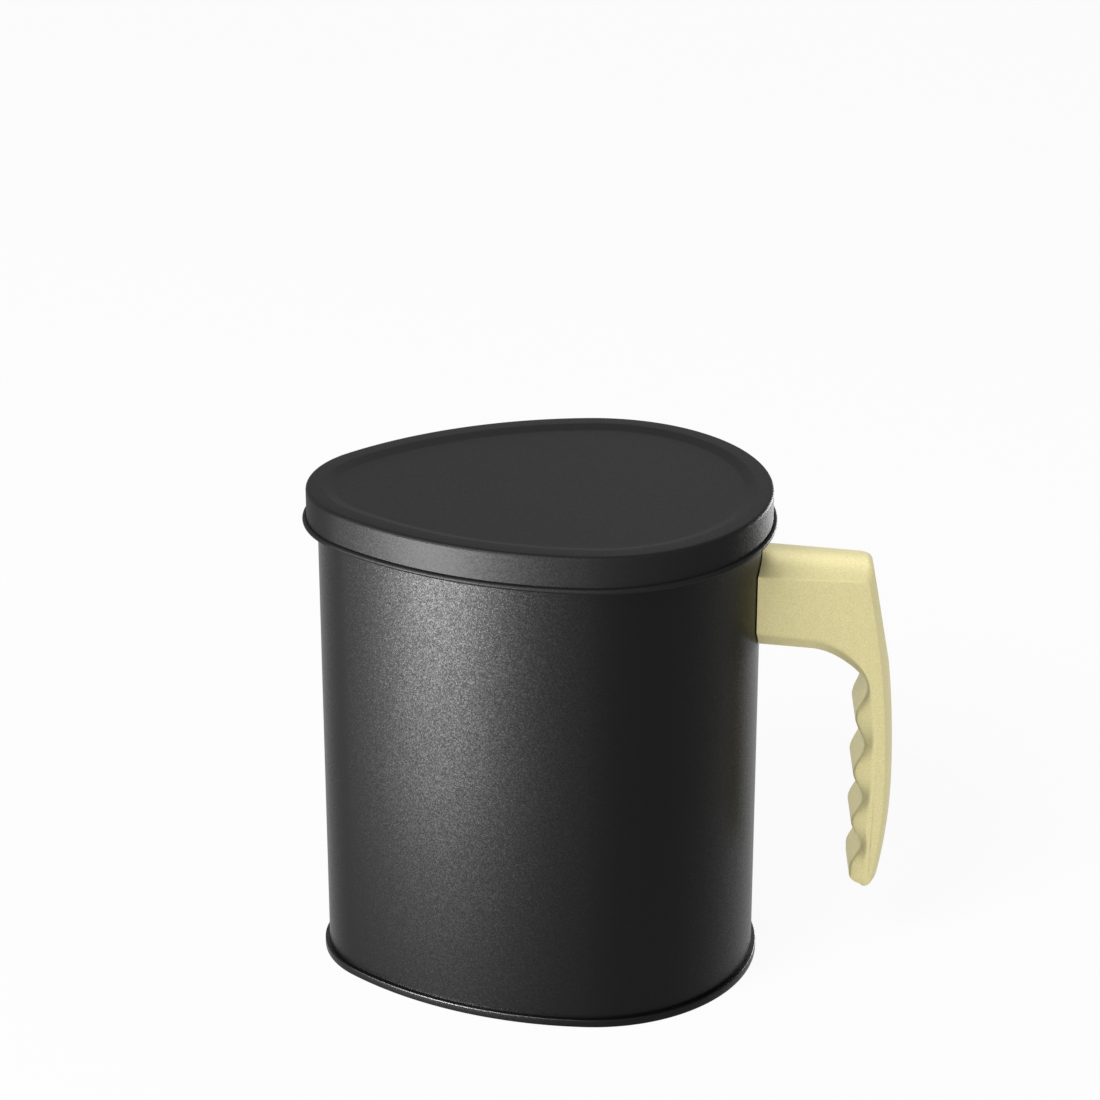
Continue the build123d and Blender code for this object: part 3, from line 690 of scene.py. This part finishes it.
# %% Handle's surface
TIP_TAPER = 0.08
BACK_CLEARANCE = 0.4
RIDGE_SHARES = (0.0, 0.3, 0.6)
SIDE_SHARES = (0.25, 0.5, 0.75)
CROWN_SHARES = (0.93, 0.84, 0.74, 0.63, 0.51, 0.38, 0.25, 0.12)
RIDGE_EASE = 1.0
BEVEL_EASE = 1.2
BACK_EASE = 0.8
bevel_heights = np.linspace(arm_line(ARM_UNDER, ROOT) + BEVEL_AT_POT, SMOOTH_KNOTS[0][1], ARM_ROWS)
ridge_track = inner_line(wavy, arm_line(ARM_UNDER, arm_reach))
side_track = inner_line(smooth, bevel_heights)
outer_middle = outer_line(0)
tip_shrink = np.ones(len(ridge_track))
tip_shrink[-TIP_ROWS:] = 1 - TIP_TAPER * (1 - np.cos(tip_turn)) ** 2
side_reach = np.minimum(side_track[:, 0], outer_line(GRIP_HALF_WIDTH)[:, 0] - BACK_CLEARANCE)
side_y = half_width(side_reach) * tip_shrink
edge_y = half_width(np.minimum(outer_middle[:, 0], HANDLE_REACH - CROWN)) * tip_shrink
ridge_y = RIDGE_HALF_WIDTH * tip_shrink
middle = np.stack([ridge_track[:, 0], 0 * ridge_y, ridge_track[:, 1]], axis=-1)
ridge = np.stack([ridge_track[:, 0], ridge_y, ridge_track[:, 1]], axis=-1)
side = np.stack([side_reach, side_y, side_track[:, 1]], axis=-1)
edge = outer_line(edge_y)
crown_lines = [outer_line(edge_y * part) for part in CROWN_SHARES]
halves = [middle + (ridge - middle) * part for part in RIDGE_SHARES]
halves += list(eased(middle, ridge, side, RIDGE_EASE))
halves += [ridge + (side - ridge) * 0.5]
halves += list(eased(ridge, side, edge, BEVEL_EASE))
halves += [side + (edge - side) * part for part in SIDE_SHARES]
halves += list(eased(side, edge, crown_lines[0], BACK_EASE))
halves += crown_lines + [outer_middle]
half = np.stack(halves, axis=1)
mirrored = half[:, -2:0:-1] * (1, -1, 1)
grip_points = np.concatenate([half, mirrored], axis=1) + (blunt_x, 0, 0)
grip_solid = piece("grip_uncut", grip_points, caps=(0, -1))
print("handle grid", grip_points.shape[:2])

# %% [markdown]
# The moulding is then cut as the real mould and drill would leave it: the root follows the pot's
# wall, a box-shaped hollow takes the bracket, and a stepped hole takes the screw and its head.

# %% Handle cut to its pot, bracket and screw
GRIP_GAP = 0.3
SCREW_HEIGHT = 124.6
SCREW_HOLE = 2.3
HEAD_HOLE = 4.2
HEAD_SEAT = 82.97
CAVITY_END = 71.1
CAVITY_HALF_WIDTH = 9.8
CAVITY_HALF_HEIGHT = 8.4
CUT_STEPS = 256
WALL_CUT_LEVELS = (60.0, 200.0)
PAST_BACK = 9
PAST_ROOT = 5
CUT_SHARP_ANGLE = 30
heading = FULL * np.arange(CUT_STEPS) / CUT_STEPS
wall_reach = BLUNT_RADIUS + GRIP_GAP
wall_rings = [
    np.stack([
        blunt_x + wall_reach * np.cos(heading),
        wall_reach * np.sin(heading),
        np.full(CUT_STEPS, level),
    ], axis=-1)
    for level in WALL_CUT_LEVELS
]
shaft_profile = [
    (ROOT, SCREW_HOLE),
    (HEAD_SEAT, SCREW_HOLE),
    (HEAD_SEAT, HEAD_HOLE),
    (HANDLE_REACH + PAST_BACK, HEAD_HOLE),
]
shaft_rings = [
    np.stack([
        np.full(CUT_STEPS, blunt_x + reach),
        radius * np.cos(heading),
        SCREW_HEIGHT + radius * np.sin(heading),
    ], axis=-1)
    for reach, radius in shaft_profile
]
across = np.array([(-1, -1), (1, -1), (1, 1), (-1, 1)]) * (CAVITY_HALF_WIDTH, CAVITY_HALF_HEIGHT)
box_rings = [
    np.stack([np.full(4, blunt_x + reach), across[:, 0], SCREW_HEIGHT + across[:, 1]], axis=-1)
    for reach in (ROOT - PAST_ROOT, CAVITY_END)
]


def cut(solid, tools, name):
    """A new object: the solid less each tool in turn, with its corners kept sharp."""
    for tool in tools:
        cutting = solid.modifiers.new(tool.name, "BOOLEAN")
        cutting.operation = "DIFFERENCE"
        cutting.solver = "EXACT"
        cutting.object = tool
    evaluated = solid.evaluated_get(bpy.context.evaluated_depsgraph_get())
    mesh = bpy.data.meshes.new_from_object(evaluated)
    mesh.name = name
    mesh.set_sharp_from_angle(angle=math.radians(CUT_SHARP_ANGLE))
    made = bpy.data.objects.new(name, mesh)
    bpy.context.scene.collection.objects.link(made)
    for used in [solid, *tools]:
        bpy.data.objects.remove(used)
    return made


cutters = [
    piece("wall_space", np.array(wall_rings), caps=(0, -1)),
    piece("bracket_space", np.array(box_rings), caps=(0, -1)),
    piece("screw_space", np.array(shaft_rings), caps=(0, -1)),
]
handle_grip = cut(grip_solid, cutters, "handle_moulded")
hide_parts("handle_grip")
print("handle faces", len(handle_grip.data.polygons))

# %% [markdown]
# ## Which body each piece rides on
# The pot with its handle stays, the strainer lifts out and the lid lifts off.

# %% Bodies
RIDES = {
    "pot": [pot_wall, pot_bottom, handle_grip],
    "strainer": [strainer_tray, mesh_warp, mesh_weft, mesh_ring],
    "lid": [lid],
}
for body, riders in RIDES.items():
    for rider in riders:
        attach(rider, body)
    print(len(riders), "pieces ride on", body)

# %% [markdown]
# ## Finishes
# Materials are worked out from what they are: a black non-stick coating with a silver fleck, duller
# on the strainer and the lid, champagne metallic paint on the handle, stainless wire, and the plain
# and zinc-plated steel of the fastening. The strainer's and the lid's coats are given lighter base
# colours than the pot's: painted light, for the light on the tray's floor and the lid's top. Each is
# one shader, because an exported model carries one: two that are added together look right only here.

# %% Helpers for finishes


def linear(colour):
    """A colour such as "d8cf9a" as four linear numbers: the sRGB curve undone for each channel."""
    parts = [int(colour[k : k + 2], 16) / 255 for k in (0, 2, 4)]
    return [p / 12.92 if p <= 0.04045 else ((p + 0.055) / 1.055) ** 2.4 for p in parts] + [1]


def add_node(tree, kind, inputs=None, **settings):
    """One node: settings are its own properties, and inputs are values or other nodes' outputs."""
    made = tree.nodes.new(kind)
    for key, value in settings.items():
        setattr(made, key, value)
    for key, value in (inputs or {}).items():
        if isinstance(value, bpy.types.NodeSocket):
            tree.links.new(value, made.inputs[key])
        else:
            made.inputs[key].default_value = value
    return made


def finish_named(name, **values):
    """A new material with its own shader; values are set on the shader's sockets, spaces for _."""
    made = bpy.data.materials.new(name)
    made.use_nodes = True
    shader = made.node_tree.nodes["Principled BSDF"]
    for key, value in values.items():
        shader.inputs[key.replace("_", " ")].default_value = value
    print("finish:", name)
    return made, made.node_tree, shader


def fleck_normal(tree, size, tilt):
    """Tiny flat flakes: cells of a Voronoi pattern, each with its own tilt added to the normal."""
    place = add_node(tree, "ShaderNodeTexCoord").outputs["Object"]
    cells = add_node(tree, "ShaderNodeTexVoronoi", {"Vector": place, "Scale": 1 / (size * MM)})
    from_middle = {0: cells.outputs["Color"], 1: (0.5, 0.5, 0.5)}
    centred = add_node(tree, "ShaderNodeVectorMath", from_middle, operation="SUBTRACT")
    less = {0: centred.outputs[0], "Scale": tilt}
    scaled = add_node(tree, "ShaderNodeVectorMath", less, operation="SCALE")
    normal = add_node(tree, "ShaderNodeNewGeometry").outputs["Normal"]
    tilted = add_node(tree, "ShaderNodeVectorMath", {0: normal, 1: scaled.outputs[0]})
    return add_node(tree, "ShaderNodeVectorMath", {0: tilted.outputs[0]}, operation="NORMALIZE").outputs[0]


def coating_named(name, colour, roughness, sheen):
    """A dark baked coat: PTFE bends light less than most plastics do, so it mirrors about a fiftieth of
    what meets it head on, and flecks tilt that sheen a little each way. A sheen of 0.5 is all of it.
    It is set lower than real here, to match the photo: the full sheen mirrors the white floor, and
    that turns the black grey."""
    made, tree, shader = finish_named(name, Base_Color=linear(colour), Roughness=roughness, IOR=PTFE_IOR)
    shader.inputs["Specular IOR Level"].default_value = sheen
    tree.links.new(fleck_normal(tree, FLECK, FLECK_TILT), shader.inputs["Normal"])
    return made


# %% Coatings
# PTFE-type coating sprayed on steel and baked: black and satin, with a silver fleck that only shows in
# the highlight. The strainer's and the lid's coats are duller, and their lighter base colours are
# painted light: they stand in for the light on the tray's floor and the lid's top. Real flecks are
# finer than these, which are as coarse as they need to be to show.
PTFE_IOR = 1.35
FLECK = 0.3
FLECK_TILT = 0.11
coating = coating_named("black_nonstick_coating", "050505", 0.35, 0.2)
# The two lighter base colours below are painted light for the tray's floor and the lid's top.
strainer_coating_painted_light = coating_named("strainer_nonstick_coating_painted_light", "262626", 0.38, 0.12)
lid_coating = coating_named("lid_nonstick_coating_painted_light", "1e1e1e", 0.5, 0.08)

# %% Paint of the handle
# Champagne metallic paint: small aluminium flakes in a warm lacquer, with a faint orange peel. The
# flakes lie at all angles, so each shows a little lighter or darker. Real ones are finer than this:
# they are drawn as coarse as they need to be to show.
ORANGE_PEEL = 0.9
PEEL_DEPTH = 0.02
PEEL_STRENGTH = 0.35
PAINT_FLAKE = 0.3
handle_paint, tree, shader = finish_named(
    "champagne_metallic_paint",
    Metallic=0.5,
    Roughness=0.45,
    Specular_IOR_Level=0.2,
)
place = add_node(tree, "ShaderNodeTexCoord").outputs["Object"]
flakes = add_node(tree, "ShaderNodeTexVoronoi", {"Vector": place, "Scale": 1 / (PAINT_FLAKE * MM)})
# Sockets 6 and 7 of a Mix node are its two colours, and output 2 is the mixed one.
tones = {0: flakes.outputs["Color"], 6: linear("d5cb96"), 7: linear("eae0aa")}
grain = add_node(tree, "ShaderNodeMix", tones, data_type="RGBA")
tree.links.new(grain.outputs[2], shader.inputs["Base Color"])
waves = {"Vector": place, "Scale": 1 / (ORANGE_PEEL * MM), "Detail": 1.0}
peel = add_node(tree, "ShaderNodeTexNoise", waves)
relief = {"Height": peel.outputs[0], "Strength": PEEL_STRENGTH, "Distance": PEEL_DEPTH * MM}
bump = add_node(tree, "ShaderNodeBump", relief)
tree.links.new(bump.outputs[0], shader.inputs["Normal"])

# %% Bare and plated metals, and the sealing compound
# Stainless wire is drawn and bright, and so is the ring. The bracket is plain rolled strip, and the
# screw and its washer are zinc-plated and a little yellow. The compound is a dull rubber.
mesh_steel = finish_named("drawn_stainless_wire", Base_Color=linear("d6d6d3"), Metallic=1, Roughness=0.4)[0]
bracket_steel = finish_named("cold_rolled_strip", Base_Color=linear("b9bbb8"), Metallic=1, Roughness=0.4)[0]
screw_steel = finish_named("zinc_plated_screw", Base_Color=linear("c4c4bd"), Metallic=1, Roughness=0.3)[0]
sealing = finish_named("rubber_sealing_compound", Base_Color=linear("1d1d1b"), Roughness=0.7)[0]

# %% Finishes given to the pieces
DRESSED = [
    (coating, "coated_steel", [pot_wall, pot_bottom]),
    (strainer_coating_painted_light, "coated_steel", [strainer_tray]),
    (lid_coating, "lid_coating", [lid]),
    (handle_paint, "handle_paint", [handle_grip]),
    (mesh_steel, "mesh_steel", [mesh_warp, mesh_weft, mesh_ring]),
    (bracket_steel, "bracket_steel", [frame["nodes"]["handle_bracket"], frame["nodes"]["bracket_nut"]]),
    (screw_steel, "screw_steel", [frame["nodes"]["handle_screw"], frame["nodes"]["screw_washer"]]),
    (sealing, "sealing_compound", [frame["nodes"]["seam_compound"]]),
]
for finish, slot, dressed in DRESSED:
    for one in dressed:
        one.data.materials.clear()
        one.data.materials.append(finish)
    print(slot, "on", len(dressed), "pieces")

# %% [markdown]
# ## Floor, light and camera
# A pale floor and a white surround. One soft light stands high on the left for the colours. The
# others are seen only in reflections. A low box stands near the pot on the left and another behind it
# on the right, close to where a mirror on the wall would show them: that way little power draws the
# broad bands down the satin wall. Two more, in front and behind, draw the lines on the rims. These
# four are flagged off the pale handle and the wire, which they would burn out, and the one behind
# also off the lid and the bottom. A weak box gives the handle its glint. The surround is dimmer as a
# light than as a background, so that shapes keep depth. Still to mend: seen from the handle's side or
# from behind, the low box on the left burns the edge of the pot and the lid on its own side to white.


# %% Floor and surround
def seen_plainly(tree):
    """1 for rays from the camera, or for those mirrored or passed on, and 0 for scattered light."""
    rays = add_node(tree, "ShaderNodeLightPath").outputs
    first_two = {0: rays["Is Camera Ray"], 1: rays["Is Glossy Ray"]}
    seen = add_node(tree, "ShaderNodeMath", first_two, operation="ADD")
    all_three = {0: seen.outputs[0], 1: rays["Is Transmission Ray"]}
    return add_node(tree, "ShaderNodeMath", all_three, operation="ADD", use_clamp=True).outputs[0]


SURROUND_LIGHT = 0.45
FLOOR_WHITENESS = 0.93
FLOOR_SIZE = 30
bpy.ops.mesh.primitive_plane_add(size=FLOOR_SIZE)
floor = bpy.context.object
floor.name = "floor"
floor_finish, tree, shader = finish_named("pale_floor", Base_Color=linear("f2f2f2"), Roughness=0.9)
shader.inputs["Specular IOR Level"].default_value = 0
white = add_node(tree, "ShaderNodeEmission", {"Color": (1, 1, 1, 1), "Strength": 1})
share = {0: seen_plainly(tree), 1: FLOOR_WHITENESS}
amount = add_node(tree, "ShaderNodeMath", share, operation="MULTIPLY")
sides = {0: amount.outputs[0], 1: shader.outputs[0], 2: white.outputs[0]}
mixed = add_node(tree, "ShaderNodeMixShader", sides)
tree.links.new(mixed.outputs[0], tree.nodes["Material Output"].inputs["Surface"])
floor.data.materials.append(floor_finish)

world = bpy.data.worlds.new("surround")
bpy.context.scene.world = world
world.use_nodes = True
tree = world.node_tree
tree.nodes.clear()
strength = add_node(tree, "ShaderNodeMapRange", {"Value": seen_plainly(tree), "To Min": SURROUND_LIGHT})
glow = add_node(tree, "ShaderNodeBackground", {"Color": (1, 1, 1, 1), "Strength": strength.outputs[0]})
add_node(tree, "ShaderNodeOutputWorld", {"Surface": glow.outputs[0]})


# %% Lights
OBJECT_MIDDLE = (0, 0, 0.11)


def soft_box(name, place, width, height, power, in_colours=True):
    """A flat rectangular light at a place in metres that faces the object's middle. Its power is in
    watts, and in_colours says whether it lights colours or is seen only in reflections."""
    made = bpy.data.lights.new(name, "AREA")
    made.shape = "RECTANGLE"
    made.size = width
    made.size_y = height
    made.energy = power
    box = bpy.data.objects.new(name, made)
    box.location = place
    box.rotation_euler = (Vector(OBJECT_MIDDLE) - Vector(place)).to_track_quat("-Z", "Y").to_euler()
    box.visible_camera = False
    box.visible_diffuse = in_colours
    bpy.context.scene.collection.objects.link(box)
    print(name, power, "W")
    return box


def falls_on(light, pieces):
    """Keeps a light off everything but these pieces, as flags do in a studio."""
    chosen = bpy.data.collections.new(light.name + "_falls_on")
    for one in pieces:
        chosen.objects.link(one)
    light.light_linking.receiver_collection = chosen


key = soft_box("key_light", (-0.75, -0.95, 1.3), width=0.8, height=0.8, power=19)
low = {"width": 0.18, "height": 0.1, "in_colours": False}
band = soft_box("band_light", (-0.385, -0.33, 0.06), power=34, **low)
rear = soft_box("rear_band_light", (0.37, 0.4, 0.06), power=4, **low)
edges = soft_box("edge_light", (-0.5, -0.6, 0.6), width=0.4, height=0.4, power=20, in_colours=False)
behind = {"width": 0.5, "height": 0.5, "in_colours": False}
back = soft_box("back_light", (0.1, 0.95, 0.8), power=8, **behind)
glint = soft_box("glint_light", (0.1, 0.95, 0.95), power=1.8, **behind)
dark_pieces = [pot_wall, pot_bottom, strainer_tray, lid]
for strong in (band, rear, edges):
    falls_on(strong, dark_pieces)
falls_on(back, [pot_wall, strainer_tray])

# %% Camera, as the photo was taken
# Fitted to the photo: tilt in degrees, turn in radians, place in metres and focal length in mm.
CAMERA_TILT = 24.18
CAMERA_TURN = 0.016
CAMERA_PLACE = (-0.00059, -0.95594, 0.56706)
FOCAL_LENGTH = 112.15
SENSOR_WIDTH = 36
camera_data = bpy.data.cameras.new("photo_camera")
camera_data.lens = FOCAL_LENGTH
camera_data.sensor_width = SENSOR_WIDTH
camera = bpy.data.objects.new("photo_camera", camera_data)
camera.location = CAMERA_PLACE
camera.rotation_euler = (math.radians(90 - CAMERA_TILT), 0, CAMERA_TURN)
bpy.context.scene.collection.objects.link(camera)
bpy.context.scene.camera = camera
bpy.context.scene.view_settings.view_transform = "Standard"
print("camera at", CAMERA_PLACE, "m, focal length", FOCAL_LENGTH, "mm")
